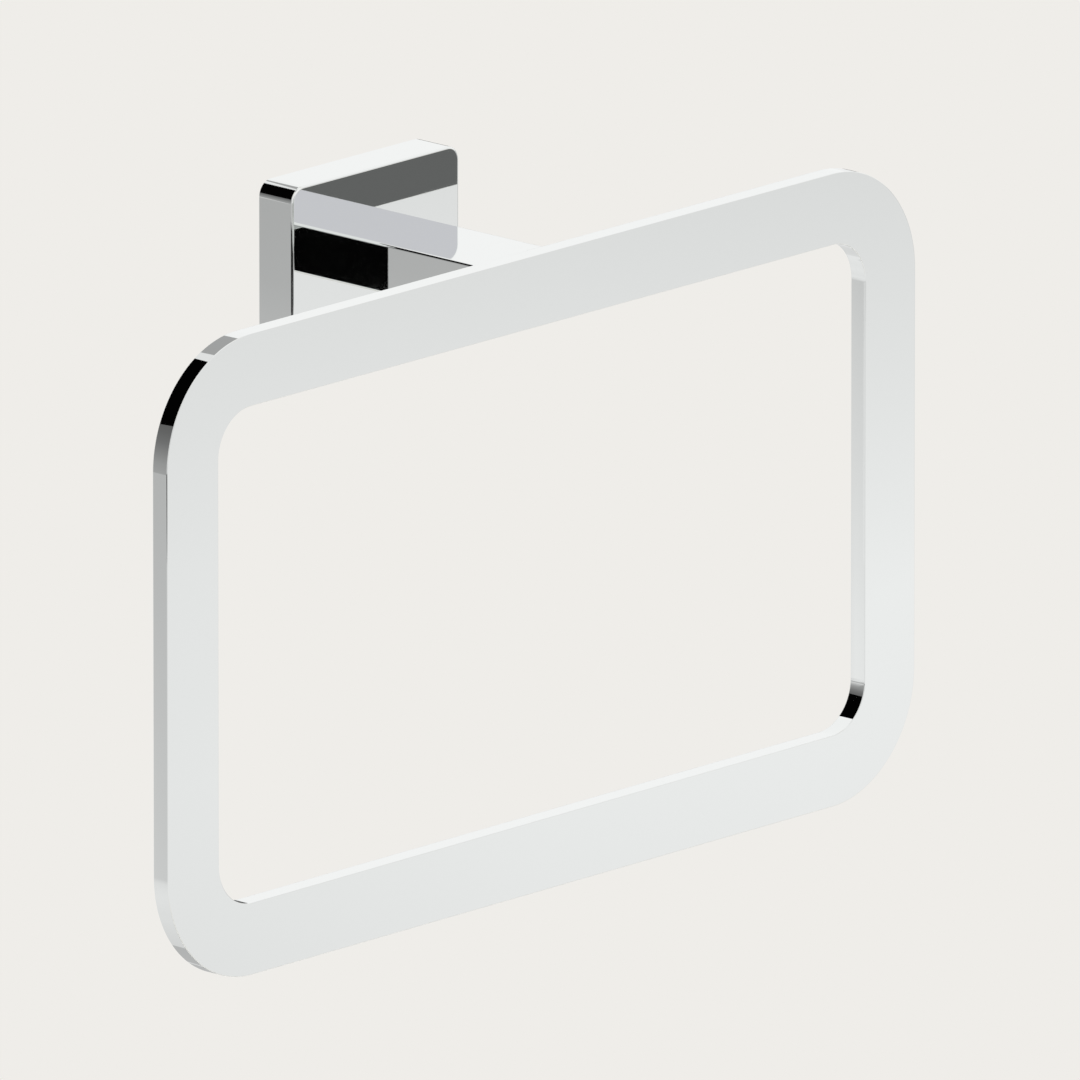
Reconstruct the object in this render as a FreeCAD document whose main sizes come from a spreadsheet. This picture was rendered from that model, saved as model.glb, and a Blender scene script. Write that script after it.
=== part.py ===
import FreeCAD, Part
import Sketcher

import math
import os

# Wall-mounted towel ring, in millimetres.
# The origin is on the wall plane, behind the middle of the arm. X runs along the wall, Y points into the wall
# and Z points up, so everything stands out from the wall towards -Y.

doc = FreeCAD.newDocument("towel_ring")
sheet = doc.addObject("Spreadsheet::Sheet", "sizes")

SIZES = (
    # ring: flat rounded rectangle
    ("ring_width", 225.0),
    ("ring_height", 135.0),
    ("ring_thickness", 4.0),
    ("ring_bar_width", 15.2),
    ("ring_outer_radius", 25.0),
    ("ring_inner_radius", 9.8),
    ("ring_edge_break", 0.15),
    # arm: solid flat bar between the cover and the ring
    ("arm_width", 21.0),
    ("arm_height", 10.5),
    ("arm_length", 43.0),
    ("arm_edge_radius", 0.5),
    # wall cover: hollow casting, open towards the wall
    ("cover_width", 50.0),
    ("cover_height", 35.0),
    ("cover_depth", 9.3),
    ("cover_wall", 2.0),
    ("cover_face", 2.5),
    ("cover_outer_radius", 2.5),
    ("cover_inner_radius", 1.0),
    ("cover_edge_radius", 0.5),
    # hook lip and screw boss inside the cover
    ("lip_width", 36.0),
    ("lip_reach", 3.8),
    ("lip_wall_gap", 0.4),
    ("boss_width", 8.0),
    ("boss_flange_gap", 1.0),
    # dowel pins that place the ring on the arm
    ("pin_diameter", 3.0),
    ("pin_length", 5.5),
    ("pin_spacing", 12.0),
    ("pin_chamfer", 0.3),
    ("pin_end_gap", 0.2),
    ("pin_side_gap", 0.03),
    ("ring_floor_at_pin", 1.5),
    # screws and washers that hold the arm to the cover
    ("arm_screw_diameter", 4.0),
    ("arm_screw_length", 14.0),
    ("arm_screw_spacing", 12.0),
    ("arm_screw_chamfer", 0.4),
    ("head_diameter", 7.6),
    ("head_height", 2.2),
    ("head_dome_radius", 1.6),
    ("head_socket_width", 2.5),
    ("head_socket_depth", 1.3),
    ("screw_hole_gap", 0.25),
    ("tapped_hole_spare", 2.0),
    ("drill_point_angle", 118.0),
    ("thread_gap", 0.05),
    ("washer_bore", 4.3),
    ("washer_diameter", 7.4),
    ("washer_thickness", 0.9),
    ("washer_split_width", 0.8),
    ("washer_split_angle", 25.0),
    # grub screw under the cover
    ("grub_diameter", 4.0),
    ("grub_length", 6.0),
    ("grub_recess", 0.3),
    ("grub_chamfer", 0.3),
    ("grub_socket_width", 2.0),
    ("grub_socket_depth", 2.0),
    # wall bracket: bent strip with two flanges that lean away from the wall
    ("bracket_thickness", 1.5),
    ("bracket_side_gap", 0.5),
    ("bend_radius", 1.0),
    ("flange_angle", 45.0),
    ("flange_past_screw", 1.3),
    ("flange_corner_radius", 2.0),
    ("flange_seat_gap", 0.02),
    ("slot_width", 4.5),
    ("slot_length", 8.0),
    ("slot_spacing", 30.0),
)

for row, (alias, value) in enumerate(SIZES, start=1):
    sheet.set("A%d" % row, alias)
    sheet.set("B%d" % row, str(value))
    sheet.setAlias("B%d" % row, alias)
doc.recompute()

# Places that several pieces share, as expressions of the sheet.
ARM_FRONT = "(sizes.cover_depth + sizes.arm_length)"
HOLLOW_DEPTH = "(sizes.cover_depth - sizes.cover_face)"
HOLLOW_HALF_HEIGHT = "(sizes.cover_height / 2 - sizes.cover_wall)"
LEAN = "(sizes.flange_angle * 1 deg)"

# The grub screw stands in the middle of the hollow. Its point lies on the back of the bracket's lower flange, so
# the line on which the flanges bend follows from the screw's length.
GRUB_FROM_WALL = "(%s / 2)" % HOLLOW_DEPTH
GRUB_POINT = "(sizes.cover_height / 2 - sizes.grub_recess - sizes.grub_length)"
BEND_LINE = "(%s - %s / tan%s)" % (GRUB_POINT, GRUB_FROM_WALL, LEAN)
FLANGE_REACH = "(%s + sizes.flange_past_screw)" % GRUB_FROM_WALL
FLANGE_TIP = "(%s + %s / tan%s)" % (BEND_LINE, FLANGE_REACH, LEAN)
BOSS_TOP = "(%s + sizes.boss_flange_gap)" % FLANGE_TIP

# The ring's pin holes leave a floor behind its polished face, and the arm's pin holes take the rest of the pin.
RING_PIN_HOLE = "(sizes.ring_thickness - sizes.ring_floor_at_pin)"
ARM_PIN_HOLE = "(sizes.pin_length + 2 * sizes.pin_end_gap - %s)" % RING_PIN_HOLE
SCREW_IN_ARM = "(sizes.arm_screw_length - sizes.cover_face - sizes.washer_thickness)"

# Points closer than the first lie on one line or plane. The second keeps a limit just clear of a size.
SAME_PLACE = 1e-6
JUST_CLEAR = 1e-3


def new_body(name):
    """A part of its own, whose label is the name of its file."""
    body = doc.addObject("PartDesign::Body", name)
    body.Label = name
    return body


def move(part, x="0", y="0", z="0"):
    """Binds a part's place to the sheet."""
    for axis, value in zip("xyz", (x, y, z)):
        if value != "0":
            part.setExpression("Placement.Base." + axis, value)


def new_sketch(body, name, plane, offset=None):
    """A sketch on one of the body's own origin planes, or at an offset along that plane's normal."""
    sketch = body.newObject("Sketcher::SketchObject", name)
    support = [f for f in body.Origin.OriginFeatures if f.Role == plane][0]
    sketch.AttachmentSupport = [(support, "")]
    sketch.MapMode = "FlatFace"
    if offset:
        sketch.setExpression("AttachmentOffset.Base.z", offset)
    return sketch


def number(expression):
    """The present value of an expression, to start a sketch near its solution."""
    value = sheet.evalExpression(expression)
    return float(getattr(value, "Value", value))


def bind(sketch, constraint, expression):
    index = sketch.addConstraint(constraint)
    sketch.setExpression("Constraints[%d]" % index, expression)


def locate(sketch, curve, point, x, y):
    """Fixes a point of a curve by its two distances from the sketch's origin."""
    for kind, axis, value in (("DistanceX", -2, x), ("DistanceY", -1, y)):
        if value == "0":
            sketch.addConstraint(Sketcher.Constraint("PointOnObject", curve, point, axis))
        else:
            size = Sketcher.Constraint(kind, -1, 1, curve, point, number(value))
            bind(sketch, size, value)


def outline(sketch, corners):
    """A closed run of straight lines through corners that are given as pairs of expressions."""
    places = [FreeCAD.Vector(number(x), number(y), 0) for x, y in corners]
    lines = []
    for start, end in zip(places, places[1:] + places[:1]):
        lines.append(sketch.addGeometry(Part.LineSegment(start, end), False))
    for line, following in zip(lines, lines[1:] + lines[:1]):
        sketch.addConstraint(Sketcher.Constraint("Coincident", line, 2, following, 1))
    for line, (x, y) in zip(lines, corners):
        locate(sketch, line, 1, x, y)


def rectangle(sketch, width, height):
    """A rectangle centred on the sketch's origin."""
    right, top = "%s / 2" % width, "%s / 2" % height
    left, low = "-%s / 2" % width, "-%s / 2" % height
    outline(sketch, ((left, low), (right, low), (right, top), (left, top)))


def circle(sketch, x, y, diameter):
    centre = FreeCAD.Vector(number(x), number(y), 0)
    curve = sketch.addGeometry(Part.Circle(centre, FreeCAD.Vector(0, 0, 1), number(diameter) / 2), False)
    locate(sketch, curve, 3, x, y)
    bind(sketch, Sketcher.Constraint("Diameter", curve, number(diameter)), diameter)


def hexagon(sketch, across_flats):
    """A hexagon centred on the sketch's origin, with two flats parallel to the sketch's X axis."""
    flat = "%s / 2" % across_flats
    corner = "%s / sqrt(3)" % across_flats
    outline(
        sketch,
        (
            ("%s / 2" % corner, "-" + flat),
            (corner, "0"),
            ("%s / 2" % corner, flat),
            ("-%s / 2" % corner, flat),
            ("-" + corner, "0"),
            ("-%s / 2" % corner, "-" + flat),
        ),
    )


def level_slot(sketch, middle, length, width):
    """A slot with round ends that lies along the sketch's X axis, with its middle on that axis."""
    half_straight = "(%s - %s) / 2" % (length, width)
    start_x, end_x = "%s - %s" % (middle, half_straight), "%s + %s" % (middle, half_straight)
    left, right, radius = number(start_x), number(end_x), number(width) / 2
    quarter = math.pi / 2

    def side(first, last, level):
        ends = FreeCAD.Vector(first, level, 0), FreeCAD.Vector(last, level, 0)
        return sketch.addGeometry(Part.LineSegment(*ends), False)

    def round_end(centre, begin):
        whole = Part.Circle(FreeCAD.Vector(centre, 0, 0), FreeCAD.Vector(0, 0, 1), radius)
        return sketch.addGeometry(Part.ArcOfCircle(whole, begin, begin + 2 * quarter), False)

    low = side(left, right, -radius)
    end = round_end(right, -quarter)
    top = side(right, left, radius)
    start = round_end(left, quarter)
    for curve, following in ((low, end), (end, top), (top, start), (start, low)):
        sketch.addConstraint(Sketcher.Constraint("Tangent", curve, 2, following, 1))
    locate(sketch, start, 3, start_x, "0")
    locate(sketch, end, 3, end_x, "0")
    bind(sketch, Sketcher.Constraint("Diameter", start, 2 * radius), width)


def pad(body, name, sketch, length, midplane=False, reverse=False):
    feature = body.newObject("PartDesign::Pad", name)
    feature.Profile = sketch
    feature.setExpression("Length", length)
    feature.Midplane = midplane
    feature.Reversed = reverse
    doc.recompute()
    return feature


def pocket(body, name, sketch, depth=None, midplane=False, reverse=False):
    """Cuts a profile out of the body, right through where no depth is given, and makes sure that it cut."""
    before = body.Shape.Volume
    feature = body.newObject("PartDesign::Pocket", name)
    feature.Profile = sketch
    if depth:
        feature.setExpression("Length", depth)
    else:
        feature.Type = "ThroughAll"
    feature.Midplane = midplane
    feature.Reversed = reverse
    doc.recompute()
    if not body.Shape.Volume < before:
        raise ValueError("%s cuts nothing" % name)
    return feature


def drilled_hole(body, name, sketch, diameter, depth, reverse=False):
    """Blind holes with a drill's conical bottom, at the circles of a sketch."""
    before = body.Shape.Volume
    doc.recompute()
    feature = body.newObject("PartDesign::Hole", name)
    feature.Profile = sketch
    feature.Threaded = False
    feature.DepthType = "Dimension"
    feature.DrillPoint = "Angled"
    feature.Reversed = reverse
    feature.setExpression("Diameter", diameter)
    feature.setExpression("Depth", depth)
    feature.setExpression("DrillPointAngle", "sizes.drill_point_angle")
    doc.recompute()
    if not body.Shape.Volume < before:
        raise ValueError("%s cuts nothing" % name)
    return feature


def edges_where(feature, test):
    """Names of the feature's edges that pass a test."""
    names = []
    for index, edge in enumerate(feature.Shape.Edges, start=1):
        if test(edge):
            names.append("Edge%d" % index)
    if not names:
        raise ValueError("no edge found on %s" % feature.Name)
    return names


def along(axis):
    """Test for straight edges that run along an axis of the body."""
    others = [i for i in range(3) if i != "xyz".index(axis)]

    def test(edge):
        ends = [vertex.Point for vertex in edge.Vertexes]
        straight = edge.Curve.TypeId == "Part::GeomLine" and len(ends) == 2
        return straight and all(abs(ends[0][i] - ends[1][i]) < SAME_PLACE for i in others)

    return test


def at_level(axis, level):
    """Test for edges that lie in the plane where an axis has one value."""
    index = "xyz".index(axis)
    return lambda edge: all(abs(v.Point[index] - level) < SAME_PLACE for v in edge.Vertexes)


def fillet(body, name, feature, test, radius):
    rounding = body.newObject("PartDesign::Fillet", name)
    rounding.Base = (feature, edges_where(feature, test))
    rounding.setExpression("Radius", radius)
    doc.recompute()
    return rounding


def break_edges(body, name, feature, test, size):
    """Small flats on the edges that pass a test."""
    flats = body.newObject("PartDesign::Chamfer", name)
    flats.Base = (feature, edges_where(feature, test))
    flats.setExpression("Size", size)
    doc.recompute()
    return flats


def revolve(body, name, sketch, axis):
    feature = body.newObject("PartDesign::Revolution", name)
    feature.Profile = sketch
    feature.ReferenceAxis = (sketch, [axis])
    feature.Angle = 360
    doc.recompute()
    return feature


def make_ring():
    """Flat ring. Its own origin is the middle of its back face."""
    ring = new_body("ring")
    blank = new_sketch(ring, "ring_blank_outline", "XZ_Plane")
    rectangle(blank, "sizes.ring_width", "sizes.ring_height")
    plate = pad(ring, "ring_blank", blank, "sizes.ring_thickness")
    fillet(ring, "ring_outer_corners", plate, along("y"), "sizes.ring_outer_radius")

    opening = new_sketch(ring, "ring_opening_outline", "XZ_Plane")
    rectangle(
        opening,
        "(sizes.ring_width - 2 * sizes.ring_bar_width)",
        "(sizes.ring_height - 2 * sizes.ring_bar_width)",
    )
    cut = pocket(ring, "ring_opening", opening, reverse=True)
    inside = number("sizes.ring_width / 2 - sizes.ring_bar_width") + JUST_CLEAR

    def opening_corner(edge):
        return along("y")(edge) and abs(edge.Vertexes[0].Point.x) < inside

    rounded = fillet(ring, "ring_inner_corners", cut, opening_corner, "sizes.ring_inner_radius")

    front, back = at_level("y", -number("sizes.ring_thickness")), at_level("y", 0.0)

    def rim(edge):
        return front(edge) or back(edge)

    break_edges(ring, "ring_edges", rounded, rim, "sizes.ring_edge_break")

    holes = new_sketch(ring, "ring_pin_hole_places", "XZ_Plane")
    for side in ("-", ""):
        circle(
            holes,
            side + "sizes.pin_spacing / 2",
            "(sizes.ring_height - sizes.ring_bar_width) / 2",
            "(sizes.pin_diameter + 2 * sizes.pin_side_gap)",
        )
    pocket(ring, "ring_pin_holes", holes, RING_PIN_HOLE, reverse=True)
    move(ring, y="-" + ARM_FRONT, z="(sizes.ring_bar_width - sizes.ring_height) / 2")
    return ring


def make_arm():
    """Flat bar. Its own origin is the middle of the end that stands on the cover."""
    arm = new_body("arm")
    section = new_sketch(arm, "arm_section", "XZ_Plane")
    rectangle(section, "sizes.arm_width", "sizes.arm_height")
    bar = pad(arm, "arm_bar", section, "sizes.arm_length")
    fillet(arm, "arm_edges", bar, along("y"), "sizes.arm_edge_radius")

    tapped = new_sketch(arm, "arm_screw_places", "XZ_Plane")
    for side in ("-", ""):
        place = side + "sizes.arm_screw_spacing / 2"
        circle(tapped, place, "0", "(sizes.arm_screw_diameter + 2 * sizes.thread_gap)")
    drilled_hole(
        arm,
        "arm_screw_holes",
        tapped,
        "sizes.arm_screw_diameter + 2 * sizes.thread_gap",
        SCREW_IN_ARM + " + sizes.tapped_hole_spare",
        reverse=True,
    )

    pins = new_sketch(arm, "arm_pin_places", "XZ_Plane", "sizes.arm_length")
    for side in ("-", ""):
        place = side + "sizes.pin_spacing / 2"
        circle(pins, place, "0", "(sizes.pin_diameter + 2 * sizes.pin_side_gap)")
    pocket(arm, "arm_pin_holes", pins, ARM_PIN_HOLE)
    move(arm, y="-sizes.cover_depth")
    return arm


def make_cover():
    """Hollow cover, with its open side on the wall."""
    cover = new_body("wall_cover")
    blank = new_sketch(cover, "cover_outline", "XZ_Plane")
    rectangle(blank, "sizes.cover_width", "sizes.cover_height")
    block = pad(cover, "cover_block", blank, "sizes.cover_depth")
    rounded = fillet(cover, "cover_corners", block, along("y"), "sizes.cover_outer_radius")
    front = at_level("y", -number("sizes.cover_depth"))
    fillet(cover, "cover_front_edge", rounded, front, "sizes.cover_edge_radius")

    hollow = new_sketch(cover, "cover_hollow_outline", "XZ_Plane")
    rectangle(
        hollow,
        "(sizes.cover_width - 2 * sizes.cover_wall)",
        "(sizes.cover_height - 2 * sizes.cover_wall)",
    )
    cut = pocket(cover, "cover_hollow", hollow, HOLLOW_DEPTH, reverse=True)
    wall_inside = number("sizes.cover_width / 2 - sizes.cover_wall")

    def hollow_corner(edge):
        return along("y")(edge) and abs(abs(edge.Vertexes[0].Point.x) - wall_inside) < JUST_CLEAR

    fillet(cover, "cover_hollow_corners", cut, hollow_corner, "sizes.cover_inner_radius")

    # The lip hangs from the top wall behind the bracket's upper flange. Its underside has the flange's slope, so
    # the cover's weight draws it to the wall.
    def lip_underside(from_wall):
        seat = "sizes.flange_seat_gap / sin%s" % LEAN
        return "%s + %s / tan%s + %s" % (BEND_LINE, from_wall, LEAN, seat)

    lip = new_sketch(cover, "hook_lip_profile", "YZ_Plane")
    outline(
        lip,
        (
            ("-sizes.lip_wall_gap", HOLLOW_HALF_HEIGHT),
            ("-sizes.lip_reach", HOLLOW_HALF_HEIGHT),
            ("-sizes.lip_reach", lip_underside("sizes.lip_reach")),
            ("-sizes.lip_wall_gap", lip_underside("sizes.lip_wall_gap")),
        ),
    )
    pad(cover, "hook_lip", lip, "sizes.lip_width", midplane=True)

    # The boss stands on the bottom wall and gives the grub screw its length of thread.
    boss = new_sketch(cover, "screw_boss_profile", "YZ_Plane")
    outline(
        boss,
        (
            ("-sizes.lip_wall_gap", "-" + HOLLOW_HALF_HEIGHT),
            ("-sizes.lip_wall_gap", "-" + BOSS_TOP),
            ("-" + HOLLOW_DEPTH, "-" + BOSS_TOP),
            ("-" + HOLLOW_DEPTH, "-" + HOLLOW_HALF_HEIGHT),
        ),
    )
    pad(cover, "screw_boss", boss, "sizes.boss_width", midplane=True)

    grub = new_sketch(cover, "grub_hole_place", "XY_Plane", "-" + BOSS_TOP)
    circle(grub, "0", "-" + GRUB_FROM_WALL, "(sizes.grub_diameter + 2 * sizes.thread_gap)")
    pocket(cover, "grub_hole", grub, "sizes.cover_height / 2 - " + BOSS_TOP)

    screws = new_sketch(cover, "cover_screw_places", "XZ_Plane")
    for side in ("-", ""):
        place = side + "sizes.arm_screw_spacing / 2"
        circle(screws, place, "0", "(sizes.arm_screw_diameter + 2 * sizes.screw_hole_gap)")
    pocket(cover, "cover_screw_holes", screws, reverse=True)
    return cover


def make_bracket():
    """Strip bent from sheet, with its back on the wall."""
    bracket = new_body("wall_bracket")
    thickness = "sizes.bracket_thickness"
    plate_half = "(%s - %s * tan(%s / 2))" % (BEND_LINE, thickness, LEAN)
    front_reach = "(%s + %s * cos%s)" % (FLANGE_REACH, thickness, LEAN)
    front_tip = "(%s - %s * sin%s)" % (FLANGE_TIP, thickness, LEAN)

    profile = new_sketch(bracket, "bracket_profile", "YZ_Plane")
    outline(
        profile,
        (
            ("0", "-" + BEND_LINE),
            ("0", BEND_LINE),
            ("-" + FLANGE_REACH, FLANGE_TIP),
            ("-" + front_reach, front_tip),
            ("-" + thickness, plate_half),
            ("-" + thickness, "-" + plate_half),
            ("-" + front_reach, "-" + front_tip),
            ("-" + FLANGE_REACH, "-" + FLANGE_TIP),
        ),
    )
    width = "(sizes.cover_width - 2 * sizes.cover_wall - 2 * sizes.bracket_side_gap)"
    strip = pad(bracket, "bracket_strip", profile, width, midplane=True)

    along_x = along("x")
    back, front = at_level("y", 0.0), at_level("y", -number(thickness))
    inner = fillet(
        bracket, "bends_inside", strip, lambda e: along_x(e) and front(e), "sizes.bend_radius"
    )
    outer = fillet(
        bracket,
        "bends_outside",
        inner,
        lambda e: along_x(e) and back(e),
        "sizes.bend_radius + " + thickness,
    )

    # The flanges' four free corners are the short edges that run square to the flange's slope.
    reach = number(FLANGE_REACH) - JUST_CLEAR

    def flange_corner(edge):
        ends = [v.Point for v in edge.Vertexes]
        across = abs(ends[0].x - ends[-1].x) < SAME_PLACE
        return across and all(point.y < -reach for point in ends)

    rounded = fillet(
        bracket, "flange_corners", outer, flange_corner, "sizes.flange_corner_radius"
    )

    slots = new_sketch(bracket, "wall_screw_slots_outline", "XZ_Plane")
    for side in ("-", ""):
        level_slot(slots, side + "sizes.slot_spacing / 2", "sizes.slot_length", "sizes.slot_width")
    pocket(bracket, "wall_screw_slots", slots, reverse=True)
    return bracket


def make_arm_screw(name, side):
    """Button head screw. Its own origin is the middle of the face under the head, and its thread points to -Y."""
    screw = new_body(name)
    shank, head = "sizes.arm_screw_diameter / 2", "sizes.head_diameter / 2"
    profile = new_sketch(screw, name + "_profile", "XY_Plane")
    outline(
        profile,
        (
            ("0", "-sizes.arm_screw_length"),
            (shank + " - sizes.arm_screw_chamfer", "-sizes.arm_screw_length"),
            (shank, "-sizes.arm_screw_length + sizes.arm_screw_chamfer"),
            (shank, "0"),
            (head, "0"),
            (head, "sizes.head_height"),
            ("0", "sizes.head_height"),
        ),
    )
    turned = revolve(screw, name + "_turned", profile, "V_Axis")
    top = number("sizes.head_height")
    rim = number(head)

    def head_rim(edge):
        return at_level("y", top)(edge) and abs(edge.BoundBox.XMax - rim) < JUST_CLEAR

    fillet(screw, name + "_dome", turned, head_rim, "sizes.head_dome_radius")
    socket = new_sketch(screw, name + "_socket_outline", "XZ_Plane", "-sizes.head_height")
    hexagon(socket, "sizes.head_socket_width")
    pocket(screw, name + "_socket", socket, "sizes.head_socket_depth", reverse=True)
    move(
        screw,
        x=side + "sizes.arm_screw_spacing / 2",
        y="-%s + sizes.washer_thickness" % HOLLOW_DEPTH,
    )
    return screw


def make_lock_washer(name, side):
    """Split spring washer, flattened, between the cover's face and the screw's head."""
    disc = doc.addObject("Part::Cylinder", name + "_disc")
    bore = doc.addObject("Part::Cylinder", name + "_bore")
    split = doc.addObject("Part::Box", name + "_split")
    for cylinder, diameter in ((disc, "washer_diameter"), (bore, "washer_bore")):
        cylinder.setExpression("Radius", "sizes.%s / 2" % diameter)
        cylinder.setExpression("Height", "sizes.washer_thickness")
    split.setExpression("Length", "sizes.washer_split_width")
    split.setExpression("Width", "sizes.washer_diameter")
    split.setExpression("Height", "3 * sizes.washer_thickness")
    split.Placement.Rotation = FreeCAD.Rotation(FreeCAD.Vector(0, 1, 0), 1)
    split.setExpression("Placement.Rotation.Angle", "sizes.washer_split_angle * 1 deg")
    split.setExpression("Placement.Base.z", "-sizes.washer_thickness")
    flat = doc.addObject("Part::Cut", name + "_flat")
    flat.Base, flat.Tool = disc, bore
    washer = doc.addObject("Part::Cut", name)
    washer.Label = name
    washer.Base, washer.Tool = flat, split
    washer.Placement.Rotation = FreeCAD.Rotation(FreeCAD.Vector(1, 0, 0), -90)
    move(washer, x=side + "sizes.arm_screw_spacing / 2", y="-" + HOLLOW_DEPTH)
    return washer


def make_pin(name, side):
    """Dowel pin with chamfered ends, half in the ring and half in the arm."""
    rod = doc.addObject("Part::Cylinder", name + "_rod")
    rod.setExpression("Radius", "sizes.pin_diameter / 2")
    rod.setExpression("Height", "sizes.pin_length")
    doc.recompute()
    pin = doc.addObject("Part::Chamfer", name)
    pin.Label = name
    pin.Base = rod
    size = number("sizes.pin_chamfer")
    rims = []
    for index, edge in enumerate(rod.Shape.Edges, start=1):
        if edge.Curve.TypeId == "Part::GeomCircle":
            rims.append((index, size, size))
    pin.Edges = rims
    pin.Placement.Rotation = FreeCAD.Rotation(FreeCAD.Vector(1, 0, 0), -90)
    move(
        pin,
        x=side + "sizes.pin_spacing / 2",
        y="-%s - %s + sizes.pin_end_gap" % (ARM_FRONT, RING_PIN_HOLE),
    )
    return pin


def make_grub_screw():
    """Set screw with a cone point. Its own origin is the middle of its lower end."""
    grub = new_body("grub_screw")
    radius = "sizes.grub_diameter / 2"
    profile = new_sketch(grub, "grub_profile", "XZ_Plane")
    outline(
        profile,
        (
            ("0", "0"),
            (radius + " - sizes.grub_chamfer", "0"),
            (radius, "sizes.grub_chamfer"),
            (radius, "sizes.grub_length - %s / tan%s" % (radius, LEAN)),
            ("0", "sizes.grub_length"),
        ),
    )
    revolve(grub, "grub_turned", profile, "V_Axis")
    socket = new_sketch(grub, "grub_socket_outline", "XY_Plane")
    hexagon(socket, "sizes.grub_socket_width")
    pocket(grub, "grub_socket", socket, "sizes.grub_socket_depth", reverse=True)
    # The cone's side lies along the flange, and stands off it by the seat gap.
    stand_off = "sizes.flange_seat_gap / sin%s" % LEAN
    move(
        grub,
        y="-" + GRUB_FROM_WALL,
        z="sizes.grub_recess - sizes.cover_height / 2 - " + stand_off,
    )
    return grub


def failed_objects():
    return [o.Name for o in doc.Objects if "Invalid" in o.State or "Error" in o.State]


parts = [make_ring(), make_arm(), make_cover(), make_bracket(), make_grub_screw()]
for suffix, sign in (("left", "-"), ("right", "")):
    parts.append(make_pin("locating_pin_" + suffix, sign))
    parts.append(make_arm_screw("arm_screw_" + suffix, sign))
    parts.append(make_lock_washer("lock_washer_" + suffix, sign))
doc.recompute()

if failed_objects():
    raise ValueError("failed: %s" % ", ".join(failed_objects()))
for part in parts:
    shape = part.Shape
    if shape.isNull() or not shape.isValid() or len(shape.Solids) != 1:
        raise ValueError("%s has no single valid solid" % part.Label)

os.makedirs("parts", exist_ok=True)
for part in parts:
    part.Shape.exportStep("parts/%s.step" % part.Label)
    box = part.Shape.BoundBox
    print(
        "%-20s volume %9.1f  X %7.2f %7.2f  Y %7.2f %7.2f  Z %7.2f %7.2f"
        % (part.Label, part.Shape.Volume, box.XMin, box.XMax, box.YMin, box.YMax, box.ZMin, box.ZMax)
    )
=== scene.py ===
import math

import bmesh
import bpy
import numpy as np
from mathutils import Matrix, Vector


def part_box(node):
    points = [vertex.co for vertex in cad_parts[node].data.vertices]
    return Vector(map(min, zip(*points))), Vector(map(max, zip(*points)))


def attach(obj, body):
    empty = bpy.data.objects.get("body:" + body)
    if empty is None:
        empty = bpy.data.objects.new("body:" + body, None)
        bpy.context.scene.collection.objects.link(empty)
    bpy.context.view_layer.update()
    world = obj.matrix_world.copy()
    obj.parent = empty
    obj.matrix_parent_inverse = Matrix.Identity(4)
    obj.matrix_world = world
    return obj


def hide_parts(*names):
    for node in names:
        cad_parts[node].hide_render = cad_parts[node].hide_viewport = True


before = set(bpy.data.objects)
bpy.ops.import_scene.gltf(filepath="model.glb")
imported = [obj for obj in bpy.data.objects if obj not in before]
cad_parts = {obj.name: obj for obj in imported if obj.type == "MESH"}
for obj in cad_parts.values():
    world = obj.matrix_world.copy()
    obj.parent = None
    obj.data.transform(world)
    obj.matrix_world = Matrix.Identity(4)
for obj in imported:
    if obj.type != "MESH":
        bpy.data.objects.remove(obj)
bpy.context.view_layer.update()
MM = 0.001

# Ring
# A flat bar of brass that follows a rounded rectangle, laser cut from plate, polished and chromed.
# Two blind holes in the back of its top bar take the pins that place it on the arm for brazing.
RING_BAR = 15.2 * MM
RING_CORNER = 25.0 * MM
RING_EDGE = 0.15 * MM
PIN_HOLE = 1.53 * MM
PIN_HOLE_DEPTH = 2.5 * MM
PIN_SPACING = 12.0 * MM
ROUND = 48
BORE_AHEAD = 0.3 * MM
SHARP_FROM = math.radians(35)


def add(tree, kind, links=None, **settings):
    """Adds a node, sets its properties, and links or sets the inputs that are named."""
    made = tree.nodes.new(kind)
    for name, value in settings.items():
        setattr(made, name, value)
    for name, value in (links or {}).items():
        if isinstance(value, bpy.types.NodeSocket):
            tree.links.new(value, made.inputs[name])
        else:
            made.inputs[name].default_value = value
    return made


def linear(hex_colour):
    """A colour written as sRGB hex, as linear red, green, blue and alpha."""
    parts = [int(hex_colour[i : i + 2], 16) / 255 for i in (1, 3, 5)]
    return [c / 12.92 if c <= 0.04045 else ((c + 0.055) / 1.055) ** 2.4 for c in parts] + [1.0]


def new_material(name):
    """A material whose tree is still empty."""
    material = bpy.data.materials.new(name)
    material.use_nodes = True
    material.node_tree.nodes.clear()
    return material


def new_piece(name, mesh):
    piece = bpy.data.objects.new(name, mesh)
    bpy.context.scene.collection.objects.link(piece)
    return piece


def mesh_of(form, name):
    """Turns a bmesh into a mesh and frees it."""
    mesh = bpy.data.meshes.new(name)
    form.to_mesh(mesh)
    form.free()
    return mesh


def settle(piece):
    """Turns a piece's modifiers into its own plain mesh."""
    bpy.context.view_layer.update()
    graph = bpy.context.evaluated_depsgraph_get()
    piece.data = bpy.data.meshes.new_from_object(piece.evaluated_get(graph), depsgraph=graph)
    piece.modifiers.clear()


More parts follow.
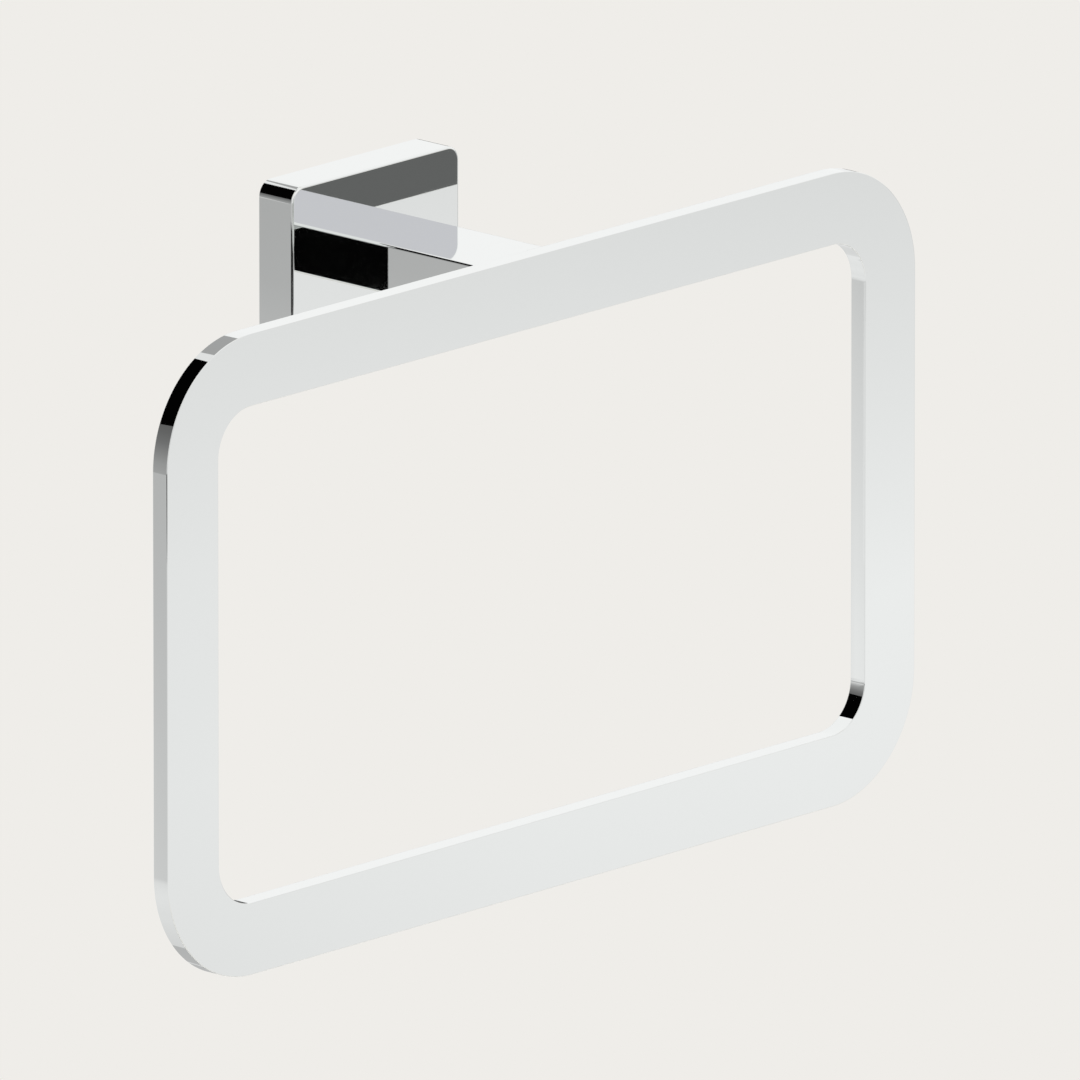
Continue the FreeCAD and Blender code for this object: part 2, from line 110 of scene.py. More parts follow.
def bore(piece, mouth, into, radius, depth, tip=0.0, sides=ROUND):
    """Cuts a round or six-sided hole from its mouth along a direction, with a conical end if tip is given."""
    form = bmesh.new()
    angles = [2 * math.pi * i / sides for i in range(sides)]
    rings = []
    for level in (-BORE_AHEAD, depth):
        rings.append([form.verts.new((radius * math.cos(a), radius * math.sin(a), level)) for a in angles])
    point = form.verts.new((0, 0, depth + tip)) if tip else None
    form.faces.new(reversed(rings[0]))
    for i in range(sides):
        j = (i + 1) % sides
        form.faces.new((rings[0][i], rings[0][j], rings[1][j], rings[1][i]))
        if point:
            form.faces.new((rings[1][i], rings[1][j], point))
    if not point:
        form.faces.new(rings[1])
    mesh = mesh_of(form, "cutter")
    way = Vector(into).to_track_quat("Z", "Y").to_matrix().to_4x4()
    mesh.transform(Matrix.Translation(mouth) @ way)
    combine(piece, new_piece("cutter", mesh), "DIFFERENCE")


def combine(piece, tool, operation):
    """Cuts one closed mesh out of a piece, or joins it on, and clears the tool away."""
    step = piece.modifiers.new(operation.lower(), "BOOLEAN")
    step.operation = operation
    step.solver = "EXACT"
    step.object = tool
    settle(piece)
    bpy.data.objects.remove(tool)


def polish(piece, material):
    """Gives a piece its material and shading that is exactly flat on flats and smooth on rounded edges."""
    piece.data.materials.clear()
    piece.data.materials.append(material)
    for face in piece.data.polygons:
        face.use_smooth = True
        face.material_index = 0
    piece.data.set_sharp_from_angle(angle=SHARP_FROM)
    shading = piece.modifiers.new("shading", "WEIGHTED_NORMAL")
    shading.keep_sharp = True
    shading.weight = 100
    settle(piece)


# The chrome is a mirror over buffed nickel. Wide, very shallow waves are left by the buffing wheel, and
# fine wipe marks change how sharp the reflection is from place to place. The real wipe marks are finer
# still, and are drawn this coarse to show.
BUFFING_WAVE = 11.0 * MM
WIPE_MARK = 0.5 * MM


def chrome_plate():
    material = new_material("polished_chrome_plate")
    tree = material.node_tree
    place = add(tree, "ShaderNodeTexCoord").outputs["Object"]
    stretched = add(tree, "ShaderNodeMapping", {"Vector": place, "Scale": (0.15, 1.0, 1.0)})
    wipes = add(
        tree,
        "ShaderNodeTexNoise",
        {"Vector": stretched.outputs["Vector"], "Scale": 1 / WIPE_MARK, "Detail": 4.0},
    )
    gloss = add(
        tree,
        "ShaderNodeMapRange",
        {"Value": wipes.outputs["Fac"], "From Min": 0.35, "From Max": 0.75, "To Min": 0.012, "To Max": 0.03},
    )
    waves = add(
        tree,
        "ShaderNodeTexNoise",
        {"Vector": place, "Scale": 1 / BUFFING_WAVE, "Detail": 1.0, "Roughness": 0.3},
    )
    ripple = add(
        tree,
        "ShaderNodeBump",
        {"Height": waves.outputs["Fac"], "Strength": 1.0, "Distance": 0.002 * MM},
    )
    plate = add(
        tree,
        "ShaderNodeBsdfPrincipled",
        {
            "Base Color": linear("#EEF0EF"),
            "Metallic": 1.0,
            "Roughness": gloss.outputs["Result"],
            "Normal": ripple.outputs["Normal"],
        },
    )
    add(tree, "ShaderNodeOutputMaterial", {"Surface": plate.outputs["BSDF"]})
    return material


chrome = chrome_plate()


def socket_inputs(tree, names, kind="NodeSocketFloat"):
    for name in names:
        tree.interface.new_socket(name=name, in_out="INPUT", socket_type=kind)


def set_inputs(modifier, values):
    """Sets a modifier's inputs by the names that its tree gives them."""
    for item in modifier.node_group.interface.items_tree:
        if item.item_type == "SOCKET" and item.in_out == "INPUT" and item.name in values:
            modifier[item.identifier] = values[item.name]


def bar_round_a_rectangle():
    """Tree that carries a bar's section along a rounded rectangle, in the plane of the ring."""
    tree = bpy.data.node_groups.new("bar_round_a_rectangle", "GeometryNodeTree")
    tree.interface.new_socket(name="Geometry", in_out="INPUT", socket_type="NodeSocketGeometry")
    socket_inputs(tree, ("Width", "Height", "Corner", "Bar", "Thickness", "Edge"))
    socket_inputs(tree, ("Corner steps", "Edge steps"), "NodeSocketInt")
    socket_inputs(tree, ("Centre",), "NodeSocketVector")
    socket_inputs(tree, ("Material",), "NodeSocketMaterial")
    tree.interface.new_socket(name="Geometry", in_out="OUTPUT", socket_type="NodeSocketGeometry")
    given = add(tree, "NodeGroupInput").outputs

    def less(first, second):
        return add(tree, "ShaderNodeMath", {0: first, 1: second}, operation="SUBTRACT").outputs[0]

    half_bar = add(tree, "ShaderNodeMath", {0: given["Bar"], 1: 0.5}, operation="MULTIPLY").outputs[0]
    path = add(
        tree,
        "GeometryNodeCurvePrimitiveQuadrilateral",
        {"Width": less(given["Width"], given["Bar"]), "Height": less(given["Height"], given["Bar"])},
    )
    rounded = add(
        tree,
        "GeometryNodeFilletCurve",
        {
            "Curve": path.outputs["Curve"],
            "Radius": less(given["Corner"], half_bar),
            "Count": given["Corner steps"],
        },
        mode="POLY",
    )
    section = add(
        tree,
        "GeometryNodeCurvePrimitiveQuadrilateral",
        {"Width": given["Bar"], "Height": given["Thickness"]},
    )
    eased = add(
        tree,
        "GeometryNodeFilletCurve",
        {"Curve": section.outputs["Curve"], "Radius": given["Edge"], "Count": given["Edge steps"]},
        mode="POLY",
    )
    bar = add(
        tree,
        "GeometryNodeCurveToMesh",
        {"Curve": rounded.outputs["Curve"], "Profile Curve": eased.outputs["Curve"]},
    )
    upright = add(
        tree,
        "GeometryNodeTransform",
        {
            "Geometry": bar.outputs["Mesh"],
            "Translation": given["Centre"],
            "Rotation": (math.pi / 2, 0, 0),
        },
    )
    real = add(tree, "GeometryNodeRealizeInstances", {"Geometry": upright.outputs["Geometry"]})
    finished = add(
        tree,
        "GeometryNodeSetMaterial",
        {"Geometry": real.outputs["Geometry"], "Material": given["Material"]},
    )
    add(tree, "NodeGroupOutput", {"Geometry": finished.outputs["Geometry"]})
    return tree


ring_low, ring_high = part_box("ring")
ring_size = ring_high - ring_low
ring = new_piece("ring_plate", bpy.data.meshes.new("ring_plate"))
follow = ring.modifiers.new("bar", "NODES")
follow.node_group = bar_round_a_rectangle()
set_inputs(
    follow,
    {
        "Width": ring_size.x,
        "Height": ring_size.z,
        "Corner": RING_CORNER,
        "Bar": RING_BAR,
        "Thickness": ring_size.y,
        "Edge": RING_EDGE,
        "Corner steps": 32,
        "Edge steps": 4,
        "Centre": (ring_low + ring_high) / 2,
        "Material": chrome,
    },
)
settle(ring)
ring_back = ring_high.y
top_bar = ring_high.z - RING_BAR / 2
for side in (-1, 1):
    bore(ring, (side * PIN_SPACING / 2, ring_back, top_bar), (0, -1, 0), PIN_HOLE, PIN_HOLE_DEPTH)
polish(ring, chrome)
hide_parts("ring")
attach(ring, "root")

# Arm
# A solid flat bar of drawn brass with eased long edges, polished and chromed. The ring is brazed to its
# front end, over two pins, and two tapped holes in its back end take the screws that come through the
# cover.
ARM_EDGE = 0.5 * MM
ARM_PIN_HOLE_DEPTH = 3.4 * MM
TAPPED_HOLE = 2.05 * MM
TAPPED_HOLE_DEPTH = 12.6 * MM
SCREW_SPACING = 12.0 * MM
DRILL_POINT = math.radians(118.0)
QUARTER_STEPS = 8


def rounded_outline(width, height, corner):
    """Points round a rectangle with round corners, as pairs, anticlockwise from the right."""
    points = []
    for quarter, (sx, sz) in enumerate(((1, 1), (-1, 1), (-1, -1), (1, -1))):
        cx = sx * (width / 2 - corner)
        cz = sz * (height / 2 - corner)
        for step in range(QUARTER_STEPS + 1):
            angle = (quarter + step / QUARTER_STEPS) * math.pi / 2
            points.append((cx + corner * math.cos(angle), cz + corner * math.sin(angle)))
    return points


def skin(name, levels):
    """Closed mesh over outlines that are given with their Y, from one flat end to the other."""
    form = bmesh.new()
    loops = [[form.verts.new((x, y, z)) for x, z in points] for y, points in levels]
    for first, second in zip(loops, loops[1:]):
        for i in range(len(first)):
            j = (i + 1) % len(first)
            form.faces.new((first[i], first[j], second[j], second[i]))
    form.faces.new(loops[0])
    form.faces.new(loops[-1])
    bmesh.ops.recalc_face_normals(form, faces=form.faces)
    return mesh_of(form, name)


arm_low, arm_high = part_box("arm")
arm_size = arm_high - arm_low
section = rounded_outline(arm_size.x, arm_size.z, ARM_EDGE)
arm = new_piece("arm_bar", skin("arm_bar", [(arm_low.y, section), (arm_high.y, section)]))
drilled_tip = TAPPED_HOLE / math.tan(DRILL_POINT / 2)
for side in (-1, 1):
    front = (side * PIN_SPACING / 2, arm_low.y, 0)
    bore(arm, front, (0, 1, 0), PIN_HOLE, ARM_PIN_HOLE_DEPTH)
    back = (side * SCREW_SPACING / 2, arm_high.y, 0)
    bore(arm, back, (0, -1, 0), TAPPED_HOLE, TAPPED_HOLE_DEPTH, tip=drilled_tip)
polish(arm, chrome)
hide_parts("arm")
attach(arm, "root")

# Wall cover
# A hollow zinc casting, polished and chromed, that is open towards the wall. A sloped lip inside its top
# wall hooks behind the bracket, and a boss on its bottom wall is tapped for the grub screw.
COVER_WALL = 2.0 * MM
COVER_FACE = 2.5 * MM
COVER_CORNER = 3.3 * MM
COVER_INNER_CORNER = 1.0 * MM
COVER_EDGE = 0.5 * MM
LIP_WIDTH = 36.0 * MM
LIP_FROM_WALL = (0.4 * MM, 3.8 * MM)
LIP_UNDERSIDE = (8.228 * MM, 11.628 * MM)
BOSS_WIDTH = 8.0 * MM
BOSS_TOP = -13.5 * MM
GRUB_HOLE = 2.05 * MM
SCREW_HOLE = 2.25 * MM
OVERLAP = 1.0 * MM


def prism(profile, half_width):
    """Closed mesh of a profile in Y and Z that runs along X."""
    form = bmesh.new()
    ends = [[form.verts.new((x, y, z)) for y, z in profile] for x in (-half_width, half_width)]
    for i in range(len(profile)):
        j = (i + 1) % len(profile)
        form.faces.new((ends[0][i], ends[0][j], ends[1][j], ends[1][i]))
    form.faces.new(ends[0])
    form.faces.new(ends[1])
    bmesh.ops.recalc_face_normals(form, faces=form.faces)
    return new_piece("prism", mesh_of(form, "prism"))


def eased_edge(edge):
    """Steps round a quarter circle, as pairs: how far in from the side, and how far back from the front."""
    for step in range(QUARTER_STEPS + 1):
        angle = step / QUARTER_STEPS * math.pi / 2
        yield edge * (1 - math.cos(angle)), edge * (1 - math.sin(angle))


cover_low, cover_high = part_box("wall_cover")
cover_size = cover_high - cover_low
inside = rounded_outline(cover_size.x - 2 * COVER_WALL, cover_size.z - 2 * COVER_WALL, COVER_INNER_CORNER)
hollow_floor = cover_low.y + COVER_FACE
levels = [(hollow_floor, inside), (cover_high.y, inside)]
levels.append((cover_high.y, rounded_outline(cover_size.x, cover_size.z, COVER_CORNER)))
for inset, back in eased_edge(COVER_EDGE):
    eased = rounded_outline(cover_size.x - 2 * inset, cover_size.z - 2 * inset, COVER_CORNER - inset)
    levels.append((cover_low.y + back, eased))
cover = new_piece("wall_cover_casting", skin("wall_cover_casting", levels))
roof = cover_high.z - COVER_WALL + OVERLAP
lip = [(-y, z) for y, z in zip(LIP_FROM_WALL, LIP_UNDERSIDE)]
lip += [(-LIP_FROM_WALL[1], roof), (-LIP_FROM_WALL[0], roof)]
combine(cover, prism(lip, LIP_WIDTH / 2), "UNION")
near, far = -LIP_FROM_WALL[0], hollow_floor - OVERLAP
bottom = cover_low.z + COVER_WALL - OVERLAP
boss = [(near, bottom), (near, BOSS_TOP), (far, BOSS_TOP), (far, bottom)]
combine(cover, prism(boss, BOSS_WIDTH / 2), "UNION")
grub_low, grub_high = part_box("grub_screw")
grub_from_wall = (grub_low.y + grub_high.y) / 2
bore(cover, (0, grub_from_wall, cover_low.z), (0, 0, 1), GRUB_HOLE, BOSS_TOP - cover_low.z + OVERLAP)
for side in (-1, 1):
    mouth = (side * SCREW_SPACING / 2, cover_low.y, 0)
    bore(cover, mouth, (0, 1, 0), SCREW_HOLE, COVER_FACE + OVERLAP)
polish(cover, chrome)
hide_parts("wall_cover")
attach(cover, "root")

# Wall bracket
# A strip of stainless sheet with two slots, bent so that both flanges lean away from the wall. It is
# screwed to the wall first and never polished, so it keeps the mill's rolling marks along its length.
# The marks are drawn coarser than the mill leaves them, to show.
ROLLING_MARK = 0.25 * MM


def rolled_stainless():
    """Dull, slightly warm steel whose fine marks along X stretch its highlights."""
    material = new_material("rolled_stainless_sheet")
    tree = material.node_tree
    place = add(tree, "ShaderNodeTexCoord").outputs["Object"]
    drawn_out = add(tree, "ShaderNodeMapping", {"Vector": place, "Scale": (0.02, 1.0, 1.0)})
    marks = add(
        tree,
        "ShaderNodeTexNoise",
        {"Vector": drawn_out.outputs["Vector"], "Scale": 1 / ROLLING_MARK, "Detail": 6.0},
    )
    tone = add(tree, "ShaderNodeMix", {"Factor": marks.outputs["Fac"]}, data_type="RGBA")
    tone.inputs["A"].default_value = linear("#A9A8A3")
    tone.inputs["B"].default_value = linear("#BFBEB9")
    gloss = add(
        tree,
        "ShaderNodeMapRange",
        {"Value": marks.outputs["Fac"], "From Min": 0.3, "From Max": 0.7, "To Min": 0.26, "To Max": 0.4},
    )
    relief = add(tree, "ShaderNodeBump", {"Height": marks.outputs["Fac"], "Distance": 0.01 * MM})
    steel = add(
        tree,
        "ShaderNodeBsdfPrincipled",
        {
            "Base Color": tone.outputs["Result"],
            "Metallic": 1.0,
            "Roughness": gloss.outputs["Result"],
            "Normal": relief.outputs["Normal"],
        },
    )
    add(tree, "ShaderNodeOutputMaterial", {"Surface": steel.outputs["BSDF"]})
    return material


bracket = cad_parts["wall_bracket"]
bracket.material_slots[0].material = rolled_stainless()

# Locating pins
# Hardened dowel pins, ground to size. They are half in the ring and half in the arm, and are hidden once
# the ring is brazed on.
# The grain of this and the next metals is drawn coarser than the real one, to show.
GRINDING_MARK = 0.12 * MM


def grained_metal(name, dark, light, mark, rough_from, rough_to, relief):
    """A metal whose tone and gloss change with one fine random grain."""
    material = new_material(name)
    tree = material.node_tree
    place = add(tree, "ShaderNodeTexCoord").outputs["Object"]
    grain = add(tree, "ShaderNodeTexNoise", {"Vector": place, "Scale": 1 / mark, "Detail": 4.0})
    tone = add(tree, "ShaderNodeMix", {"Factor": grain.outputs["Fac"]}, data_type="RGBA")
    tone.inputs["A"].default_value = linear(dark)
    tone.inputs["B"].default_value = linear(light)
    spread = {"From Min": 0.3, "From Max": 0.7, "To Min": rough_from, "To Max": rough_to}
    gloss = add(tree, "ShaderNodeMapRange", {"Value": grain.outputs["Fac"], **spread})
    bumps = add(tree, "ShaderNodeBump", {"Height": grain.outputs["Fac"], "Distance": relief})
    metal = add(
        tree,
        "ShaderNodeBsdfPrincipled",
        {
            "Base Color": tone.outputs["Result"],
            "Metallic": 1.0,
            "Roughness": gloss.outputs["Result"],
            "Normal": bumps.outputs["Normal"],
        },
    )
    add(tree, "ShaderNodeOutputMaterial", {"Surface": metal.outputs["BSDF"]})
    return material


# Ground steel has a soft shine and a plain grey.
ground_steel = grained_metal("ground_pin_steel", "#ABABAB", "#BEBEBE", GRINDING_MARK, 0.15, 0.25, 0.002 * MM)
for side in ("left", "right"):
    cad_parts["locating_pin_" + side].material_slots[0].material = ground_steel

# Arm screws and their lock washers
# Button head machine screws of bright zinc plated steel, with rolled threads and hexagon sockets. Each
# has a split spring washer under its head and stands inside the cover, out of sight once the cover is on
# the wall.
PITCH = 0.7 * MM
THREAD_DEPTH = 0.43 * MM
SHANK = 2.0 * MM
SCREW_LENGTH = 14.0 * MM
SCREW_CHAMFER = 0.4 * MM
HEAD_RADIUS = 3.8 * MM
HEAD_HEIGHT = 2.2 * MM
HEAD_DOME = 1.6 * MM
HEAD_SOCKET = 2.5 * MM
HEAD_SOCKET_DEPTH = 1.3 * MM
ROWS_PER_TURN = 10
PLATING_GRAIN = 0.2 * MM

# The flats on the thread's crest and at its root, as shares of the pitch.
CREST_FLAT = 1 / 8
ROOT_FLAT = 1 / 4


def thread_tree():
    """Tree that presses a V thread into a shank which stands along Z, then puts the screw in its place."""
    tree = bpy.data.node_groups.new("press_thread", "GeometryNodeTree")
    tree.interface.new_socket(name="Geometry", in_out="INPUT", socket_type="NodeSocketGeometry")
    socket_inputs(tree, ("Pitch", "Depth", "Radius", "From", "To"))
    socket_inputs(tree, ("Place", "Turn"), "NodeSocketVector")
    socket_inputs(tree, ("Material",), "NodeSocketMaterial")
    tree.interface.new_socket(name="Geometry", in_out="OUTPUT", socket_type="NodeSocketGeometry")
    given = add(tree, "NodeGroupInput").outputs

    def sum_of(operation, first, second=0.0, **settings):
        return add(tree, "ShaderNodeMath", {0: first, 1: second}, operation=operation, **settings).outputs[0]

    def ramp(value, start, end, low, high):
        links = {"Value": value, "From Min": start, "From Max": end, "To Min": low, "To Max": high}
        return add(tree, "ShaderNodeMapRange", links).outputs["Result"]

    place = add(tree, "GeometryNodeInputPosition").outputs["Position"]
    x, y, z = add(tree, "ShaderNodeSeparateXYZ", {"Vector": place}).outputs
    around = sum_of("DIVIDE", sum_of("ARCTAN2", y, x), 2 * math.pi)
    phase = sum_of("FRACT", sum_of("SUBTRACT", sum_of("DIVIDE", z, given["Pitch"]), around))
    wave = sum_of("ABSOLUTE", sum_of("SUBTRACT", sum_of("MULTIPLY", phase, 2.0), 1.0))
    groove = ramp(wave, CREST_FLAT, 1 - ROOT_FLAT, 0.0, given["Depth"])
    begin = ramp(z, given["From"], sum_of("ADD", given["From"], given["Pitch"]), 0.0, 1.0)
    end = ramp(z, sum_of("SUBTRACT", given["To"], given["Pitch"]), given["To"], 1.0, 0.0)
    inset = sum_of("MULTIPLY", groove, sum_of("MULTIPLY", begin, end))
    outward = add(tree, "ShaderNodeCombineXYZ", {"X": x, "Y": y})
    measured = add(tree, "ShaderNodeVectorMath", {0: outward.outputs["Vector"]}, operation="LENGTH")
    radius = measured.outputs["Value"]
    pressed = sum_of("MINIMUM", radius, sum_of("SUBTRACT", given["Radius"], inset))
    share = sum_of("DIVIDE", pressed, radius)
    moved = add(
        tree,
        "ShaderNodeCombineXYZ",
        {"X": sum_of("MULTIPLY", x, share), "Y": sum_of("MULTIPLY", y, share), "Z": z},
    )
    inside = sum_of(
        "MULTIPLY",
        sum_of("GREATER_THAN", z, given["From"]),
        sum_of("LESS_THAN", z, given["To"]),
    )
    threaded = add(
        tree,
        "GeometryNodeSetPosition",
        {"Geometry": given["Geometry"], "Selection": inside, "Position": moved.outputs["Vector"]},
    )
    placed = add(
        tree,
        "GeometryNodeTransform",
        {
            "Geometry": threaded.outputs["Geometry"],
            "Translation": given["Place"],
            "Rotation": given["Turn"],
        },
    )
    real = add(tree, "GeometryNodeRealizeInstances", {"Geometry": placed.outputs["Geometry"]})
    finished = add(
        tree,
        "GeometryNodeSetMaterial",
        {"Geometry": real.outputs["Geometry"], "Material": given["Material"]},
    )
    add(tree, "NodeGroupOutput", {"Geometry": finished.outputs["Geometry"]})
    return tree


press_thread = thread_tree()


def turned(name, profile):
    """Closed mesh turned about Z from pairs of radius and level, whose first and last lie on the axis."""
    form = bmesh.new()
    first = form.verts.new((0, 0, profile[0][1]))
    last = form.verts.new((0, 0, profile[-1][1]))
    angles = [2 * math.pi * i / ROUND for i in range(ROUND)]
    rows = []
    for radius, level in profile[1:-1]:
        rows.append([form.verts.new((radius * math.cos(a), radius * math.sin(a), level)) for a in angles])
    for i in range(ROUND):
        j = (i + 1) % ROUND
        form.faces.new((first, rows[0][j], rows[0][i]))
        for lower, upper in zip(rows, rows[1:]):
            form.faces.new((lower[i], lower[j], upper[j], upper[i]))
        form.faces.new((rows[-1][i], rows[-1][j], last))
    bmesh.ops.recalc_face_normals(form, faces=form.faces)
    return mesh_of(form, name)


def levels_between(start, end):
    """Levels along a shank, close enough together to carry a thread."""
    count = round((end - start) / PITCH * ROWS_PER_TURN)
    return [start + (end - start) * i / count for i in range(count + 1)]


def threaded_piece(name, profile, values):
    piece = new_piece(name, turned(name, profile))
    rolling = piece.modifiers.new("thread", "NODES")
    rolling.node_group = press_thread
    set_inputs(rolling, {"Pitch": PITCH, "Depth": THREAD_DEPTH, "Radius": SHANK, **values})
    settle(piece)
    return piece


# Bright zinc is a cool pale grey, duller than the chrome.
zinc_plate = grained_metal("bright_zinc_plate", "#BFC4CA", "#D2D6DA", PLATING_GRAIN, 0.22, 0.34, 0.003 * MM)
screw_profile = [(0, -SCREW_LENGTH), (SHANK - SCREW_CHAMFER, -SCREW_LENGTH)]
screw_profile += [(SHANK, level) for level in levels_between(SCREW_CHAMFER - SCREW_LENGTH, 0)]
screw_profile.append((HEAD_RADIUS, 0))
screw_profile += [(HEAD_RADIUS - inset, HEAD_HEIGHT - back) for inset, back in eased_edge(HEAD_DOME)]
screw_profile.append((0, HEAD_HEIGHT))
for side, sign in (("left", -1), ("right", 1)):
    low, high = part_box("arm_screw_" + side)
    under_head = high.y - HEAD_HEIGHT
    screw = threaded_piece(
        "button_head_screw_" + side,
        screw_profile,
        {
            "From": -SCREW_LENGTH,
            "To": -PITCH,
            "Place": (sign * SCREW_SPACING / 2, under_head, 0),
            "Turn": (-math.pi / 2, 0, 0),
            "Material": zinc_plate,
        },
    )
    mouth = (sign * SCREW_SPACING / 2, high.y, 0)
    bore(screw, mouth, (0, -1, 0), HEAD_SOCKET / math.sqrt(3), HEAD_SOCKET_DEPTH, sides=6)
    polish(screw, zinc_plate)
    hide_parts("arm_screw_" + side)
    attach(screw, "root")
    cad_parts["lock_washer_" + side].material_slots[0].material = zinc_plate

# Grub screw
# A plain stainless set screw with a cone point. It comes up through the boss in the underside of the
# cover, and its point runs along the back of the bracket's lower flange.
GRUB_CHAMFER = 0.3 * MM
GRUB_SOCKET = 2.0 * MM
GRUB_SOCKET_DEPTH = 2.0 * MM
TURNING_MARK = 0.15 * MM

# Plain stainless steel is a warm mid grey, duller again.
plain_steel = grained_metal(
    "plain_set_screw_steel", "#9F9E9A", "#B2B1AD", TURNING_MARK, 0.24, 0.36, 0.003 * MM
)
grub_length = grub_high.z - grub_low.z
cone_starts = grub_length - SHANK
grub_profile = [(0, 0), (SHANK - GRUB_CHAMFER, 0)]
grub_profile += [(SHANK, level) for level in levels_between(GRUB_CHAMFER, cone_starts)]
grub_profile += [(0, grub_length)]
grub = threaded_piece(
    "set_screw",
    grub_profile,
    {
        "From": 0.0,
        "To": cone_starts,
        "Place": (0, grub_from_wall, grub_low.z),
        "Turn": (0, 0, 0),
        "Material": plain_steel,
    },
)
bore(grub, (0, grub_from_wall, grub_low.z), (0, 0, 1), GRUB_SOCKET / math.sqrt(3), GRUB_SOCKET_DEPTH, sides=6)
polish(grub, plain_steel)
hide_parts("grub_screw")
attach(grub, "root")

# Studio
# The photograph is a cut-out on a plain warm white, seen through a long lens from the front left and
# above. The floor is far below the ring and has the same colour. The chrome mirrors plain cards, which
# stand round the object and show in reflections alone.
BACKDROP = "#EFEDE9"
AZIMUTH = math.radians(47.198)
ELEVATION = math.radians(15.109)
DISTANCE = 9.6086
AIM_RIGHT = 40.433 * MM
AIM_UP = -61.219 * MM
LENS_MM = 1562.5
SENSOR_MM = 36.0
ROOM_LIGHT = 0.55
LAMP_WIDTH = 1.2
LAMP_HEIGHT = 1.5
LAMP_POWER = 20.0

camera_data = bpy.data.cameras.new("camera")
camera_data.lens = LENS_MM
camera_data.sensor_width = SENSOR_MM
camera_data.clip_start = 0.1
camera_data.clip_end = 100.0
camera = new_piece("camera", camera_data)
camera.rotation_euler = (math.pi / 2 - ELEVATION, 0, -AZIMUTH)
camera.location = camera.rotation_euler.to_matrix() @ Vector((AIM_RIGHT, AIM_UP, DISTANCE))
bpy.context.scene.camera = camera
bpy.context.scene.view_settings.view_transform = "Standard"


def seen_directly_or_mirrored(tree):
    """One for rays from the camera and rays that metal or glass sends on, and nought for the rest."""
    rays = add(tree, "ShaderNodeLightPath").outputs
    both = add(tree, "ShaderNodeMath", {0: rays["Is Camera Ray"], 1: rays["Is Glossy Ray"]}, operation="ADD")
    links = {0: both.outputs[0], 1: rays["Is Transmission Ray"]}
    return add(tree, "ShaderNodeMath", links, operation="ADD", use_clamp=True).outputs[0]


world = bpy.data.worlds.new("studio")
bpy.context.scene.world = world
world.use_nodes = True
tree = world.node_tree
tree.nodes.clear()
dim = add(tree, "ShaderNodeBackground", {"Color": linear("#FFFFFF"), "Strength": ROOM_LIGHT})
plain = add(tree, "ShaderNodeBackground", {"Color": linear(BACKDROP), "Strength": 1.0})
chosen = {0: seen_directly_or_mirrored(tree), 1: dim.outputs[0], 2: plain.outputs[0]}
mixed = add(tree, "ShaderNodeMixShader", chosen)
add(tree, "ShaderNodeOutputWorld", {"Surface": mixed.outputs[0]})

# The floor is shaded as painted board under the object, where it takes the shadow, and fades to the plain
# backdrop.
FLOOR_LEVEL = -0.6
FLOOR_RADIUS = 3.0
SHADED_TO = 0.35
PLAIN_FROM = 0.85

form = bmesh.new()
bmesh.ops.create_circle(form, cap_ends=True, segments=2 * ROUND, radius=FLOOR_RADIUS)
bmesh.ops.translate(form, verts=form.verts, vec=(0, 0, FLOOR_LEVEL))
floor = new_piece("floor", mesh_of(form, "floor"))
board = new_material("floor_board")
tree = board.node_tree
place = add(tree, "ShaderNodeTexCoord").outputs["Object"]
flat = add(tree, "ShaderNodeVectorMath", {0: place, 1: (1, 1, 0)}, operation="MULTIPLY").outputs[0]
away = add(tree, "ShaderNodeVectorMath", {0: flat}, operation="LENGTH").outputs["Value"]
fade = add(tree, "ShaderNodeMapRange", {"Value": away, "From Min": SHADED_TO, "From Max": PLAIN_FROM})
share = add(
    tree, "ShaderNodeMath", {0: fade.outputs[0], 1: seen_directly_or_mirrored(tree)}, operation="MULTIPLY"
)
paint = add(tree, "ShaderNodeBsdfDiffuse", {"Color": linear(BACKDROP)})
glow = add(tree, "ShaderNodeEmission", {"Color": linear(BACKDROP), "Strength": 1.0})
blend = add(tree, "ShaderNodeMixShader", {0: share.outputs[0], 1: paint.outputs[0], 2: glow.outputs[0]})
add(tree, "ShaderNodeOutputMaterial", {"Surface": blend.outputs[0]})
floor.data.materials.append(board)

lamp_data = bpy.data.lights.new("soft_lamp", "AREA")
lamp_data.shape = "SQUARE"
lamp_data.size = LAMP_WIDTH
lamp_data.energy = LAMP_POWER
lamp = new_piece("soft_lamp", lamp_data)
lamp.location = (0, 0, LAMP_HEIGHT)
lamp.visible_glossy = False


def card_finish(name):
    """Plain glow of the colour that the card's points carry."""
    material = new_material(name)
    tree = material.node_tree
    tone = add(tree, "ShaderNodeAttribute", attribute_name="tone")
    glow = add(tree, "ShaderNodeEmission", {"Color": tone.outputs["Color"], "Strength": 1.0})
    add(tree, "ShaderNodeOutputMaterial", {"Surface": glow.outputs[0]})
    return material


card_glow = card_finish("card_glow")
CARD_POINTS = 17


def fine(steps):
    """A card's own steps, and enough even ones between its ends to bend it smoothly."""
    return np.unique(np.concatenate([steps, np.linspace(steps[0], steps[-1], CARD_POINTS)]))


